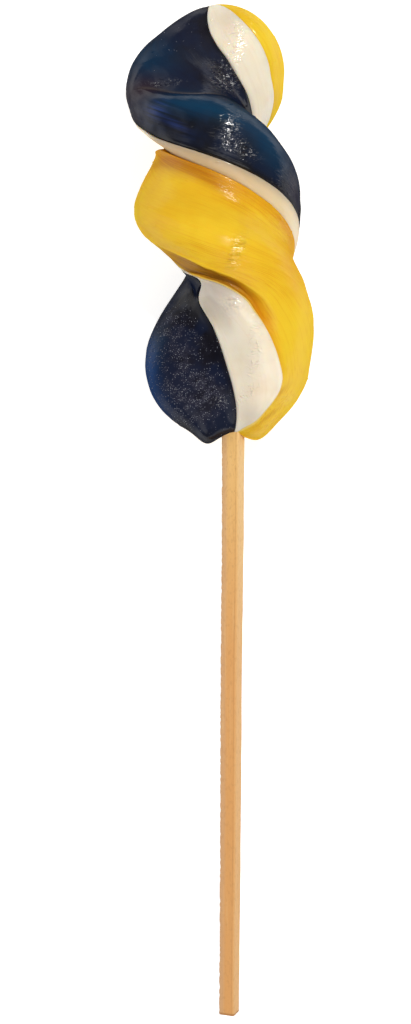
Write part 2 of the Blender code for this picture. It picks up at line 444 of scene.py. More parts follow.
def twistTree():
    sizes = ("Length", "Drift", "Fold Depth", *relief["heights"],
             "Start Groove", "End Groove", "Groove Width")
    tree, entry, leave = newTree("Twist The Rope", [
        *((size, "Float") for size in sizes), ("Seed", "Int"), ("Material", "Material")])
    given = {output.name: Field(tree, output) for output in entry.outputs}
    place = tree.nodes.new("GeometryNodeInputPosition")
    x, y, z = parts(Field(tree, place.outputs[0]))
    share = -y / given["Length"]
    bareAngle = z.math("ARCTAN2", x)
    degrees = bareAngle * inDegrees
    angle = strayedAngle(bareAngle, share)
    inward = (x * x + z * z).math("SQRT") / blank["radius"]
    turn = twistAt(share)
    facing = angle - turn
    facingDegrees = facing * inDegrees

    # how far out the outside comes
    reach = outlineReach(angle) + (share * 2.0 - 1.0) * cosine(angle) * given["Drift"]
    fold, pastFold, foldShare = foldDepth(facing, share, given["Length"], given["Fold Depth"])
    reach = reach - fold
    for push, toward in (("pushLeft", 180.0), ("pushRight", 0.0)):
        aside = wrapped(facingDegrees - toward)
        reach = reach + alongCurve(share, bar[push], mm) * bell(aside, 0.0, bar["pushSpread"])
    pillow = relief["pillow"]
    puffed = bell(wrapped(degrees - pillow["angle"]), 0.0, pillow["width"])
    reach = reach + puffed * window(share, pillow["window"]) * given["Pillow Height"]
    lip, hollowShade, creaseShade = lipRelief(degrees, share, given["Lip Rim"])
    reach = reach + lip - neckDip(degrees, facingDegrees, share, given)
    ropeX, ropeZ = reach * cosine(bareAngle), reach * sine(bareAngle)
    reach = handMarked(tree, reach, given, ropeX, y, ropeZ)
    fromStart = attribute(tree, "fromStart") * reach
    toEnd = attribute(tree, "toEnd") * reach
    reach = reach - grooveDip(fromStart, given["Groove Width"], given["Start Groove"])
    reach = reach - grooveDip(toEnd, given["Groove Width"], given["End Groove"])

    # the section turned, rounded off at both ends and leant
    base = roundEnd(1.0 - share, *bar["baseRound"])
    size = roundEnd(share, *bar["tipRound"]) * base
    acrossX = reach * inward * cosine(angle) + bar["offCentre"][0]
    acrossY = reach * inward * sine(angle) + bar["offCentre"][1]
    side = size * (acrossX * cosine(turn) + acrossY * sine(turn))
    up = size * (acrossY * cosine(turn) - acrossX * sine(turn))
    middle = share * (bar["leanAtBase"] - bar["leanAtTip"]) + bar["leanAtTip"]
    middle = middle + sine(share * math.pi) * bar["bow"] + (1.0 - base) * bar["baseBend"]
    right = middle + side
    along = side * bar["slope"] - share * given["Length"]
    low = smooth(share, 0.8, 1.0)
    for place, width, drop in bar["sags"]:
        along = along - low * bell(right, place * mm, width * mm) * (drop * mm)
    along = along + (1.0 - smooth(share, 0.0, 0.1)) * bar["tipLift"]

    # laid down on the floor
    tiltCos, tiltSin = math.cos(lying["tilt"]), math.sin(lying["tilt"])
    moveX, moveY, moveZ = lying["move"]
    layY = along * tiltCos - up * tiltSin + moveY
    layZ = atLeast(along * tiltSin + up * tiltCos + moveZ, 0.0)
    geometry = keep(tree, entry.outputs[0], "ropePlace", xyz(tree, ropeX, y, ropeZ), "FLOAT_VECTOR")
    for name, value in (("alongBar", share), ("hollowShade", hollowShade), ("lipCreaseShade", creaseShade),
                        ("pastFold", pastFold / mm), ("foldShare", foldShare),
                        ("startSide", fromStart / mm), ("endSide", toEnd / mm)):
        geometry = keep(tree, geometry, name, value)
    move = geometryNode(tree, "SetPosition", geometry, Position=xyz(tree, right + moveX, layY, layZ))
    smoothed = geometryNode(tree, "SetShadeSmooth", move.outputs[0])
    real = geometryNode(tree, "RealizeInstances", smoothed.outputs[0])
    painted = geometryNode(tree, "SetMaterial", real.outputs[0], Material=given["Material"])
    tree.links.new(painted.outputs[0], leave.inputs[0])
    return tree


# The straight blank that each rope is twisted from, and the ropes themselves: where each comes to the
# outside, in degrees round the section, with how many points, and its grooves beside its neighbours in mm.
blank = {
    "radius": 14.0 * mm,
    "rings": 620,
    "core": 0.16,                       # the white core, as a share of the reach
    "corePoints": (12, 8),              # round the core, on the white rope and on the others
    "wall": (0.985, 0.95, 0.87, 0.7, 0.42),   # shares of the reach, down the side of a rope
    "gap": 0.05,                        # degrees off each side
    "crowding": 0.6,                    # how far the points crowd toward the edges
    "fine": 20000,                      # steps that the rings are placed by
}
ropes = {
    "blue": {"arcs": [(70.4, 220.0)], "points": [128],
             "startGroove": 0.5, "endGroove": 0.75, "grooveWidth": 1.3},
    "white": {"arcs": [(35.6, 70.4), (220.0, 232.0)], "points": [44, 18],
              "startGroove": 0.18, "endGroove": 0.5, "grooveWidth": 0.7},
    "yellow": {"arcs": [(232.0, 395.6)], "points": [130],
               "startGroove": 0.3, "endGroove": 0.35, "grooveWidth": 1.0},
}


def ringShares():
    # stations from tip to base at even steps over the rounded outline
    def sectionSize(share):
        size = 1.0
        for length, power, off in ((*bar["tipRound"], share), (*bar["baseRound"], 1 - share)):
            if off < length:
                size *= (1 - (1 - off / length) ** power) ** (1 / power)
        return size

    fine, rings = blank["fine"], blank["rings"]
    shares = [0.5 - 0.5 * math.cos(math.pi * i / fine) for i in range(fine + 1)]
    run = [0.0]
    for first, second in zip(shares, shares[1:]):
        rise = (sectionSize(second) - sectionSize(first)) * blank["radius"]
        run.append(run[-1] + math.hypot((second - first) * bar["length"], rise))
    found, at = [], 0
    for ring in range(1, rings + 1):
        goal = run[-1] * ring / (rings + 1)
        while run[at + 1] < goal:
            at += 1
        part = (goal - run[at]) / (run[at + 1] - run[at])
        found.append(shares[at] + (shares[at + 1] - shares[at]) * part)
    return found


def sectionLoop(arcs, points):
    # one rope's section: angle, share of the reach, and degrees from the start and to the end of its
    # outside
    loop = []
    wideCore, thinCore = blank["corePoints"]
    for i, (start, end) in enumerate(arcs):
        following = arcs[(i + 1) % len(arcs)][0] + (360 if i + 1 == len(arcs) else 0) + blank["gap"]
        start, end = start + blank["gap"], end - blank["gap"]
        span = end - start
        for step in range(points[i] + 1):
            even = step / points[i]
            eased = even - blank["crowding"] * math.sin(2 * math.pi * even) / (2 * math.pi)
            loop.append((start + span * eased, 1.0, span * eased, span * (1 - eased)))
        loop += [(end, share, span, 0.0) for share in blank["wall"]]
        if len(arcs) > 1:        # the white rope holds the core
            for step in range(wideCore + 1):
                loop.append((end + (following - end) * step / wideCore, blank["core"], 90.0, 90.0))
            loop += [(following, share, 0.0, 90.0) for share in reversed(blank["wall"])]
        else:
            for step in range(thinCore + 1):
                loop.append((end - span * step / thinCore, blank["core"] * 1.02, 90.0, 90.0))
            loop += [(start, share, 0.0, span) for share in reversed(blank["wall"])]
    return loop


def tubeFaces(rings, count):
    # squares between one ring of points and the next, and a fan over each end round its own middle point
    faces = []
    for ring in range(rings - 1):
        for i in range(count):
            near, after = ring * count + i, ring * count + (i + 1) % count
            faces.append((near, near + count, after + count, after))
    for ring, hub in ((0, rings * count), (rings - 1, rings * count + 1)):
        for i in range(count):
            near, after = ring * count + i, ring * count + (i + 1) % count
            faces.append((hub, near, after) if ring == 0 else (hub, after, near))
    return faces


def placed(name, data):
    # a new object at the origin
    made = bpy.data.objects.new(name, data)
    bpy.context.scene.collection.objects.link(made)
    return made


def newPiece(name, corners, faces, **numbers):
    # a mesh object with numbers kept on its points
    data = bpy.data.meshes.new(name)
    data.from_pydata(corners, [], faces)
    for label, values in numbers.items():
        data.attributes.new(label, "FLOAT", "POINT").data.foreach_set("value", values)
    return placed(name, data)


def ropeBlank(name, arcs, points):
    # the rope as a straight prism, closed at both ends
    loop, shares = sectionLoop(arcs, points), ringShares()
    corners, fromStart, toEnd = [], [], []
    for share in shares:
        for angle, inward, start, end in loop:
            turn, out = angle * perDegree, blank["radius"] * inward
            corners.append((out * math.cos(turn), -bar["length"] * share, out * math.sin(turn)))
            fromStart.append(start * perDegree)
            toEnd.append(end * perDegree)
    outside = [angle * perDegree for angle, inward, _, _ in loop if inward == 1.0]
    hubAngle = sum(outside) / len(outside) if len(arcs) == 1 else 0.0
    hubReach = blank["radius"] * (0.5 if len(arcs) == 1 else 0.02)
    hubX, hubZ = hubReach * math.cos(hubAngle), hubReach * math.sin(hubAngle)
    for share in (shares[0], shares[-1]):
        corners.append((hubX, -bar["length"] * share, hubZ))
        fromStart.append(1.5)
        toEnd.append(1.5)
    return newPiece(name, corners, tubeFaces(len(shares), len(loop)), fromStart=fromStart, toEnd=toEnd)


def newMaterial(name):
    made = bpy.data.materials.new(name)
    made.use_nodes = True
    return made, made.node_tree, made.node_tree.nodes["Principled BSDF"]


def objectPlace(tree):
    node = tree.nodes.new("ShaderNodeTexCoord")
    return Field(tree, node.outputs["Object"])


def kept(tree, name, vector=False):
    # reads what the geometry tree stored on the points
    node = tree.nodes.new("ShaderNodeAttribute")
    node.attribute_name = name
    return Field(tree, node.outputs["Vector" if vector else "Fac"])


def scaled(field, x, y, z):
    # a pattern's own scale in each direction
    node = newNode(field.tree, "ShaderNodeMapping", Vector=field, Scale=(x, y, z))
    return Field(field.tree, node.outputs[0])


def streaks(place, wide, long, detail=3.0, rough=0.6, twist=0.0):
    # a pattern drawn out along the rope or the grain: wide and long in mm
    fitted = scaled(place, 1 / (wide * mm), 1 / (long * mm), 1 / (wide * mm))
    return noise(fitted, 1.0, detail, rough, twist)


def flakes(place, size):
    # distance to the nearest of many scattered points, in cells, and a chance for each cell
    node = newNode(place.tree, "ShaderNodeTexVoronoi", Vector=place, Scale=1 / (size * mm))
    colour = Field(place.tree, node.outputs["Color"])
    return Field(place.tree, node.outputs["Distance"]), parts(colour)[0]


def mixColour(tree, first, second, share):
    node = tree.nodes.new("ShaderNodeMix")
    node.data_type = "RGBA"
    node.clamp_factor = True
    plug(tree, node.inputs[0], share)
    for socket, colour in ((node.inputs[6], first), (node.inputs[7], second)):
        plug(tree, socket, colour if isinstance(colour, Field) else (*colour, 1))
    return Field(tree, node.outputs[2])


def layered(tree, colour, *layers):
    # colours laid one over another, each with how much of it shows
    for tint, share in layers:
        colour = mixColour(tree, colour, tint, share)
    return colour


def bumpy(tree, height, distance, strength=1.0, normal=None):
    node = newNode(tree, "ShaderNodeBump", Strength=strength, Distance=distance, Height=height,
                   Normal=normal)
    return Field(tree, node.outputs[0])


def sugarSkin(tree, rope, lines, wrinkles, peelDepth=0.008):
    # the pulled sugar's skin: fine lines along the rope, small wrinkles across it and a slight orange peel
    fine = streaks(rope, 0.40, 12.0)
    fold = streaks(rope, 1.5, 0.85, 2.0, 0.6, 0.6) - 0.5
    ridge = atLeast(0.04 - fold * fold, 0.0) * 10.0
    peel = cloudy(rope, 0.9)
    return bumpy(tree, fine * lines + ridge * wrinkles + peel * peelDepth, 1.0 * mm)


def unevenRough(place, sugar, wrinkled):
    # duller in some places than others, and clearest where it is wrinkled
    clear, dull = sugar["rough"]
    uneven = smooth(cloudy(place, sugar["roughSize"], 3.0), 0.35, 0.7)
    return mixed(clear, dull, uneven) * (1.0 - clipped(wrinkled) * 0.5)


def finishSugar(tree, shader, sugar, colour, roughness, normal, gloss):
    # the gloss is a thin clear coat, weaker where the surface turns away
    turned = newNode(tree, "ShaderNodeLayerWeight", Blend=0.5)
    edgeOn = smooth(Field(tree, turned.outputs["Facing"]), 0.25, 0.8)
    filled(tree, shader, {
        "Base Color": colour, "Roughness": roughness, "Normal": normal,
        "Coat Weight": clipped(gloss * (1.0 - edgeOn * 0.9)), "Coat Normal": normal,
        "Coat Roughness": sugar["coatRough"], "Subsurface Weight": sugar["milky"],
        "Subsurface Radius": (1.0, 0.6, 0.25), "Subsurface Scale": sugar["milkyDepth"] * mm,
        "IOR": 1.5, "Specular IOR Level": 0.0})


def newSugar(name, sugar):
    made, tree, shader = newMaterial(name)
    place, rope = objectPlace(tree), kept(tree, "ropePlace", True)
    on = {kind: patches(place, spots) for kind, spots in sugar["patches"].items()}
    return made, tree, shader, place, rope, on


# Colours are linear light. Sizes are in mm, and patches are as patches() takes them.
blueSugar = {
    "navy": (0.0058, 0.0100, 0.0275), "black": (0.006, 0.0055, 0.008), "teal": (0.0015, 0.042, 0.098),
    "brown": (0.030, 0.018, 0.026), "bloom": (0.12, 0.13, 0.165), "haze": (0.028, 0.028, 0.046),
    # the near-white is a painted glint colour
    "edge": (0.075, 0.06, 0.055), "paintedGlint": (0.88, 0.88, 0.88), "crescent": (0.003, 0.040, 0.150),
    "violet": (0.030, 0.065, 0.26),
    "rough": (0.13, 0.24), "roughSize": 2.4, "coatRough": 0.12, "gloss": (0.85, 0.4),
    "milky": 0.0, "milkyDepth": 1.0,
    "specks": 0.42, "fineSpecks": 0.20, "clumps": 1.7,
    "patches": {
        # painted sheen of a bluish light on the left edges and the roll, with a bluer tone in the block's
        # middle
        "teal": [(-13.0, 88.0, 4.5, 6.0, 25, 0.8), (-4.5, 88.0, 5.0, 5.0, 0, 0.3),
                 (-4.0, 76.4, 11.0, 2.4, -14, 1.0), (8.0, 70.6, 8.0, 2.6, -42, 1.0),
                 (-12.4, 33.0, 2.0, 5.0, -12, 0.4)],
        # where glints are painted into the colour
        "paintedGlint": [(1.3, 84.6, 2.0, 2.6, -20, 0.9), (-10.9, 82.3, 3.0, 0.5, -5, 0.45),
                  (1.9, 71.4, 1.2, 2.6, -25, 0.8), (4.6, 68.0, 2.2, 0.9, -30, 0.7),
                  (0.2, 21.4, 1.0, 0.9, 0, 0.6)],
        "dull": [(-4.0, 26.5, 7.0, 9.0, 10, 1.4), (-7.0, 36.0, 5.0, 6.0, 20, 0.7),
                 (-13.0, 28.0, 3.0, 9.0, 0, 0.6), (-10.5, 90.0, 6.0, 6.0, 0, 0.8),
                 (-5.0, 84.0, 6.0, 3.0, 0, 0.6), (12.5, 63.5, 3.0, 5.0, 15, 0.5),
                 (-9.5, 74.2, 4.0, 3.0, -30, 0.75)],
        # painted reflections of a bluish light on the left edges
        "crescent": [(-13.9, 28.5, 1.9, 7.0, 3, 1.0), (-12.0, 20.5, 2.2, 4.0, 25, 0.5)],
        "violet": [(-12.0, 76.6, 2.0, 1.6, -10, 0.5), (-8.6, 73.2, 3.2, 0.8, -38, 0.35)],
        "brown": [(-15.0, 81.5, 4.5, 2.6, 0, 0.9), (-16.0, 77.0, 2.5, 2.5, 0, 0.3),
                  (-5.0, 88.0, 8.0, 8.0, 0, 0.35), (5.6, 71.5, 4.0, 2.5, -35, 0.25),
                  (14.6, 63.0, 1.6, 4.0, 10, 0.5)],
        "bloom": [(-6.5, 26.0, 5.5, 8.0, 15, 0.8), (-3.0, 21.5, 5.0, 4.0, 0, 1.0),
                  (-9.0, 36.0, 3.0, 5.0, 25, 0.7), (-6.0, 90.0, 7.0, 6.0, 0, 0.035)],
        "wrinkle": [(1.3, 84.4, 2.4, 3.6, -20, 1.6), (1.9, 71.6, 1.8, 3.2, -20, 1.0),
                    (4.6, 68.2, 2.6, 1.4, -30, 1.0), (-10.9, 82.3, 3.2, 0.8, -5, 0.9),
                    (11.6, 61.5, 3.0, 6.0, -25, 0.5), (-13.4, 31.8, 2.0, 4.0, 0, 0.7)],
    },
}


def blueCandy():
    sugar = blueSugar
    made, tree, shader, place, rope, on = newSugar("blue boiled sugar", sugar)
    cloud = cloudy(place, 7.0, 3.0)
    streak = streaks(rope, 1.3, 22.0, 3.0, 0.55)
    # painted shade: darker toward the grooves where the blue meets the white
    rim = 1.0 - smooth(kept(tree, "startSide"), 0.2, 1.6) * smooth(kept(tree, "endSide"), 0.4, 3.2)

    # sugar bloom: a haze with crystals in two sizes
    near, chance = flakes(place, sugar["specks"])
    fine, fineChance = flakes(place, sugar["fineSpecks"])
    clumps = smooth(cloudy(place, sugar["clumps"]), 0.42, 0.6)
    specks = (1.0 - smooth(near, 0.16, 0.34)) * chance.math("LESS_THAN", on["bloom"] * 0.55)
    powder = (1.0 - smooth(fine, 0.15, 0.4)) * fineChance.math("LESS_THAN", on["bloom"] * clumps * 0.5)
    frost = clipped(specks * 0.8 + powder * 0.45)

    # painted glints: bright flecks on the wrinkles' crests, and the pale line along the crease
    crinkle = streaks(rope, 1.9, 0.8, 3.0, 0.62, 1.0) - 0.5
    broken = smooth(cloudy(place, 0.8, 1.0), 0.46, 0.6)
    paintedGlint = (1.0 - smooth(crinkle.math("ABSOLUTE"), 0.006, 0.022)) * broken
    line = bell(kept(tree, "pastFold"), -0.15, 0.28) * smooth(kept(tree, "foldShare"), 0.05, 0.5)
    colour = layered(
        tree, sugar["navy"],
        (sugar["black"], smooth(cloud, 0.42, 0.62)),
        # painted sheen of a bluish light
        (sugar["teal"], clipped(on["teal"] * mixed(0.75, 1.0, smooth(streak, 0.35, 0.65))) * 0.85),
        # painted reflections of a bluish light
        (sugar["crescent"], on["crescent"]),
        (sugar["violet"], on["violet"] * smooth(streak, 0.38, 0.60)),
        (sugar["brown"], on["brown"]),
        # painted shade along the grooves
        (sugar["black"], rim * 0.8),
        (sugar["haze"], on["bloom"] * mixed(0.4, 0.9, clumps)),
        (sugar["bloom"], frost),
        (sugar["paintedGlint"], clipped(paintedGlint * on["paintedGlint"])),
        (sugar["edge"], line * 0.55))
    rough = unevenRough(place, sugar, on["wrinkle"]) + frost * 0.3 + on["bloom"] * 0.55
    skin = sugarSkin(tree, rope, 0.024, on["wrinkle"] * 0.55 + 0.006)
    worn = smooth(cloudy(place, 3.0), 0.3, 0.75)
    gloss = mixed(*sugar["gloss"], worn) * (1.0 - on["dull"]) + clipped(on["wrinkle"]) * 0.4
    finishSugar(tree, shader, sugar, colour, rough, bumpy(tree, frost, 0.06 * mm, 0.8, skin), gloss)
    return made


whiteSugar = {
    "cream": (0.96, 0.84, 0.665), "warm": (0.80, 0.64, 0.44), "coolToneAndShade": (0.55, 0.485, 0.42),
    "grey": (0.42, 0.40, 0.38), "shade": (0.36, 0.315, 0.275),
    "stripe": (0.63, 0.455, 0.26), "stripeLight": (0.80, 0.64, 0.405), "stripeShade": (0.37, 0.30, 0.235),
    "rough": (0.16, 0.30), "roughSize": 2.0, "coatRough": 0.14, "gloss": (0.9, 0.6),
    "milky": 0.35, "milkyDepth": 2.5,
    "patches": {
        # a cooler, greyer tone, with painted shade on the pillow's top
        "coolToneAndShade": [(0.4, 43.2, 4.4, 4.4, 20, 1.3), (1.5, 96.0, 3.0, 3.0, 0, 0.3),
                 (7.5, 18.0, 5.0, 2.6, -20, 0.6)],
        "shade": [(0.0, 44.2, 3.0, 2.6, -20, 0.75)],
        "grey": [(2.3, 39.0, 2.2, 1.6, -10, 0.45)],
        "wrinkle": [(3.2, 92.0, 1.5, 6.0, -5, 1.0), (6.9, 31.7, 1.3, 6.0, -5, 1.5),
                    (5.0, 22.4, 2.6, 1.4, 45, 1.5), (2.3, 39.0, 2.0, 1.4, 0, 0.9)],
    },
}


def whiteCandy():
    sugar = whiteSugar
    made, tree, shader, place, rope, on = newSugar("white pulled sugar", sugar)
    cloud = cloudy(place, 6.0, 3.0)
    streak = streaks(rope, 1.0, 18.0, 3.0, 0.55)
    start, along = kept(tree, "startSide"), kept(tree, "alongBar")

    # the strip across the middle is more tanned, and darker along its upper edge
    strip = layered(
        tree, sugar["stripe"],
        (sugar["stripeLight"], smooth(along, 0.40, 0.52)),
        (sugar["stripeShade"], (1.0 - smooth(start, 0.0, 1.5)) * 0.6))
    colour = layered(
        tree, sugar["cream"],
        (sugar["warm"], smooth(cloud, 0.4, 0.75) * 0.5),
        (sugar["warm"], smooth(streak, 0.5, 0.75) * 0.25),
        (sugar["warm"], (1.0 - smooth(start, 0.0, 0.7)) * 0.5),
        (strip, window(along, (0.28, 0.33, 0.50, 0.60))),
        # cooler tone, and painted shade on the pillow's top
        (sugar["coolToneAndShade"], on["coolToneAndShade"] * 0.8),
        (sugar["shade"], on["shade"]),
        (sugar["grey"], on["grey"] * smooth(cloudy(place, 0.6, 3.0), 0.35, 0.65)))
    skin = sugarSkin(tree, rope, 0.025, on["wrinkle"] * 0.40 + 0.015)
    gloss = mixed(*sugar["gloss"], smooth(cloud, 0.35, 0.7)) + clipped(on["wrinkle"]) * 0.3
    finishSugar(tree, shader, sugar, colour, unevenRough(place, sugar, on["wrinkle"]), skin, gloss)
    return made


yellowSugar = {
    "yellow": (0.83, 0.49, 0.016), "light": (0.90, 0.62, 0.034), "orange": (0.70, 0.285, 0.006),
    "olive": (0.36, 0.165, 0.014), "creaseShade": (0.16, 0.062, 0.006), "rim": (0.86, 0.66, 0.20),
    "amber": (0.46, 0.155, 0.006),
    "rough": (0.20, 0.36), "roughSize": 2.2, "coatRough": 0.2, "gloss": (0.6, 0.3),
    "milky": 0.25, "milkyDepth": 2.0,
    "patches": {
        "wrinkle": [(3.2, 48.6, 1.2, 3.4, -25, 1.8), (12.8, 53.6, 2.6, 5.0, 10, 0.5),
                    (13.3, 21.9, 2.0, 1.2, 20, 0.6), (8.6, 16.8, 3.0, 1.6, 20, 0.6)],
        "pull": [(4.2, 60.0, 6.0, 2.6, -35, 1.0), (11.5, 56.0, 4.0, 6.0, 20, 0.9),
                 (5.5, 38.0, 3.5, 6.0, 25, 0.8), (-4.0, 49.0, 6.0, 1.6, -25, 0.8),
                 (10.0, 20.0, 5.0, 4.0, 40, 0.9), (9.0, 44.0, 3.0, 5.0, 30, 0.7)],
        # painted shade deepening the band below the white strip, and darker streaks near the base
        "amber": [(-7.6, 66.6, 5.5, 1.9, -30, 1.0), (-1.5, 62.8, 5.0, 1.5, -35, 0.7),
                  (11.3, 22.6, 2.6, 0.5, 42, 0.6), (9.8, 18.6, 2.4, 0.45, 40, 0.6),
                  (7.0, 16.4, 1.6, 0.8, 15, 0.35)],
        # painted shade along the yellow's left and right edges
        "orange": [(15.0, 50.0, 3.0, 7.0, 0, 0.9), (-11.5, 68.5, 3.0, 2.0, 0, 0.7),
                   (-13.5, 61.0, 2.5, 6.0, 0, 0.35)],
        "light": [(9.0, 93.0, 4.0, 9.0, 0, 0.9), (13.0, 31.0, 5.0, 13.0, 0, 0.6)],
    },
}


def yellowCandy():
    sugar = yellowSugar
    made, tree, shader, place, rope, on = newSugar("yellow pulled sugar", sugar)
    cloud = cloudy(place, 8.0, 3.0)
    streak = streaks(rope, 0.6, 20.0, 4.0)
    hair = streaks(rope, 0.28, 16.0)
    along = kept(tree, "alongBar")
    uneven = mixed(0.6, 1.0, smooth(streak, 0.35, 0.65))

    # painted shade below the white strip and in the lip's hollow, a painted dark line along the lip's
    # crease, and pale where the lip's rim is thin
    shadeBelowStrip = 1.0 - smooth(kept(tree, "startSide") + (streak - 0.5) * 3.0, 0.6, 6.5)
    hollowShade = kept(tree, "hollowShade") * mixed(0.7, 1.0, smooth(streak, 0.42, 0.6))
    creaseShade = kept(tree, "lipCreaseShade") * mixed(0.5, 1.0, smooth(streak, 0.4, 0.6))
    rim = (1.0 - smooth(kept(tree, "endSide"), 0.2, 0.8)) * smooth(along, 0.5, 0.6)
    colour = layered(
        tree, sugar["yellow"],
        (sugar["light"], smooth(cloud, 0.35, 0.7) * 0.6),
        (sugar["light"], on["light"]),
        # painted shade below the white strip and along the edges
        (sugar["orange"], clipped(shadeBelowStrip * 0.75 + on["orange"]) * uneven),
        (sugar["orange"], smooth(streak, 0.60, 0.74) * 0.35),
        # painted shade below the strip, and darker streaks near the base
        (sugar["amber"], on["amber"] * uneven),
        (sugar["orange"], (on["pull"] * 0.65 + 0.2) * smooth(hair, 0.50, 0.64)),
        # painted shade in the lip's hollow
        (sugar["orange"], hollowShade),
        (sugar["olive"], hollowShade * (1.0 - smooth(along, 0.66, 0.76))),
        # painted shade along the lip's crease
        (sugar["creaseShade"], creaseShade * 0.4),
        (sugar["rim"], rim * 0.8))
    skin = sugarSkin(tree, rope, on["pull"] * 0.10 + 0.025, on["wrinkle"] * 0.40 + 0.010)
    gloss = mixed(*sugar["gloss"], smooth(cloud, 0.35, 0.7)) + clipped(on["wrinkle"]) * 0.5
    finishSugar(tree, shader, sugar, colour, unevenRough(place, sugar, on["wrinkle"]), skin, gloss)
    return made


candyMaterials = {"blue": blueCandy(), "white": whiteCandy(), "yellow": yellowCandy()}
print("sugar: three colours mixed")

twist = twistTree()
heights = {label: height * mm for label, height in relief["heights"].items()}
for name, rope in ropes.items():
    piece = ropeBlank(name + "Rope", rope["arcs"], rope["points"])
    runTree(piece, twist, **{
        "Length": bar["length"], "Drift": bar["drift"], "Fold Depth": bar["foldDepth"], **heights,
        "Start Groove": rope["startGroove"] * mm, "End Groove": rope["endGroove"] * mm,
        "Groove Width": rope["grooveWidth"] * mm, "Seed": relief["seed"], "Material": candyMaterials[name]})
    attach(piece, "root")
    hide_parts(name + "_strand")
    print(piece.name, "twisted:", len(piece.data.polygons), "faces")


stick = {
    "innerEnd": -54.9 * mm, "outerEnd": -200.9 * mm,
    "widthAtCandy": 3.8 * mm, "widthAtEnd": 3.2 * mm,
    "turn": 22.0,                       # degrees about its length
    "sideAtCandy": 3.9 * mm, "sideAtEnd": 2.8 * mm,
    "edge": 0.42 * mm,                  # softened corners
    "endDrawn": 0.975,                  # the very ends are this much narrower
    "rings": 560, "sidePoints": 9, "cornerPoints": 4,
    "wave": 0.10 * mm, "waveSize": 30 * mm,
    "fray": 0.13 * mm, "fraySize": 0.7 * mm, "fibreMost": 0.03 * mm,
    "ripple": 0.025 * mm, "rippleSize": 4 * mm,
    "wood": (0.76, 0.375, 0.125), "fresh": (0.86, 0.53, 0.185), "pale": (0.88, 0.60, 0.28),
    # the pinkish tint is painted shade for the left face
    "brown": (0.46, 0.21, 0.07), "shadePink": (0.66, 0.39, 0.205),
}


def stickSection():
    # a square with softened corners, one unit wide: points, and how close each is to a corner
    soft, points = stick["edge"] / stick["widthAtCandy"], []
    flat = 0.5 - soft
    for corner in range(4):
        turn = corner * math.pi / 2
        centre = Vector((flat, flat)) if corner == 0 else Matrix.Rotation(turn, 2) @ Vector((flat, flat))
        for i in range(stick["cornerPoints"] + 1):
            angle = turn + math.pi / 2 * i / stick["cornerPoints"]
            points.append((centre + Vector((math.cos(angle), math.sin(angle))) * soft, 1.0))
        start, end = points[-1][0], Matrix.Rotation(turn + math.pi / 2, 2) @ Vector((0.5, flat))
        for i in range(1, stick["sidePoints"]):
            share = i / stick["sidePoints"]
            points.append((start.lerp(end, share), abs(share - 0.5) * 0.6))
    return points


def makeStick():
    # a square stick that narrows toward its free end, frayed along its left corners
    corners, across = [], []
    section, rings = stickSection(), stick["rings"]
    turn = Matrix.Rotation(stick["turn"] * perDegree, 2)
    for ring in range(rings + 1):
        share = ring / rings
        along = stick["innerEnd"] + (stick["outerEnd"] - stick["innerEnd"]) * share
        width = stick["widthAtCandy"] + (stick["widthAtEnd"] - stick["widthAtCandy"]) * share
        side = stick["sideAtCandy"] + (stick["sideAtEnd"] - stick["sideAtCandy"]) * share
        side += stick["wave"] * hills.noise(Vector((along / stick["waveSize"], 3.1, 0)))
        drawn = stick["endDrawn"] if ring in (0, rings) else 1.0
        for point, sharp in section:
            spot = turn @ point
            rough = stick["fray"] * sharp if spot.x < 0 else 0.0
            fray = hills.noise(Vector((spot.x * 3, along / stick["fraySize"], spot.y * 3))) * rough
            ripple = hills.noise(Vector((spot.x * 9, along / stick["rippleSize"], spot.y * 9)))
            fray += ripple * stick["ripple"] * 2
            reach = width * drawn + min(fray, stick["fibreMost"]) * 2
            corners.append((side + spot.x * reach, along, spot.y * reach))
            across.append(spot.x)
    corners += [(stick["sideAtCandy"], stick["innerEnd"], 0), (stick["sideAtEnd"], stick["outerEnd"], 0)]
    across += [0.0, 0.0]
    piece = newPiece("woodStick", corners, tubeFaces(rings + 1, len(section)), acrossStick=across)
    piece.data.transform(layDown)
    piece.data.shade_smooth()
    piece.data.set_sharp_from_angle(angle=40 * perDegree)
    piece.data.materials.append(stickWood())
    return piece


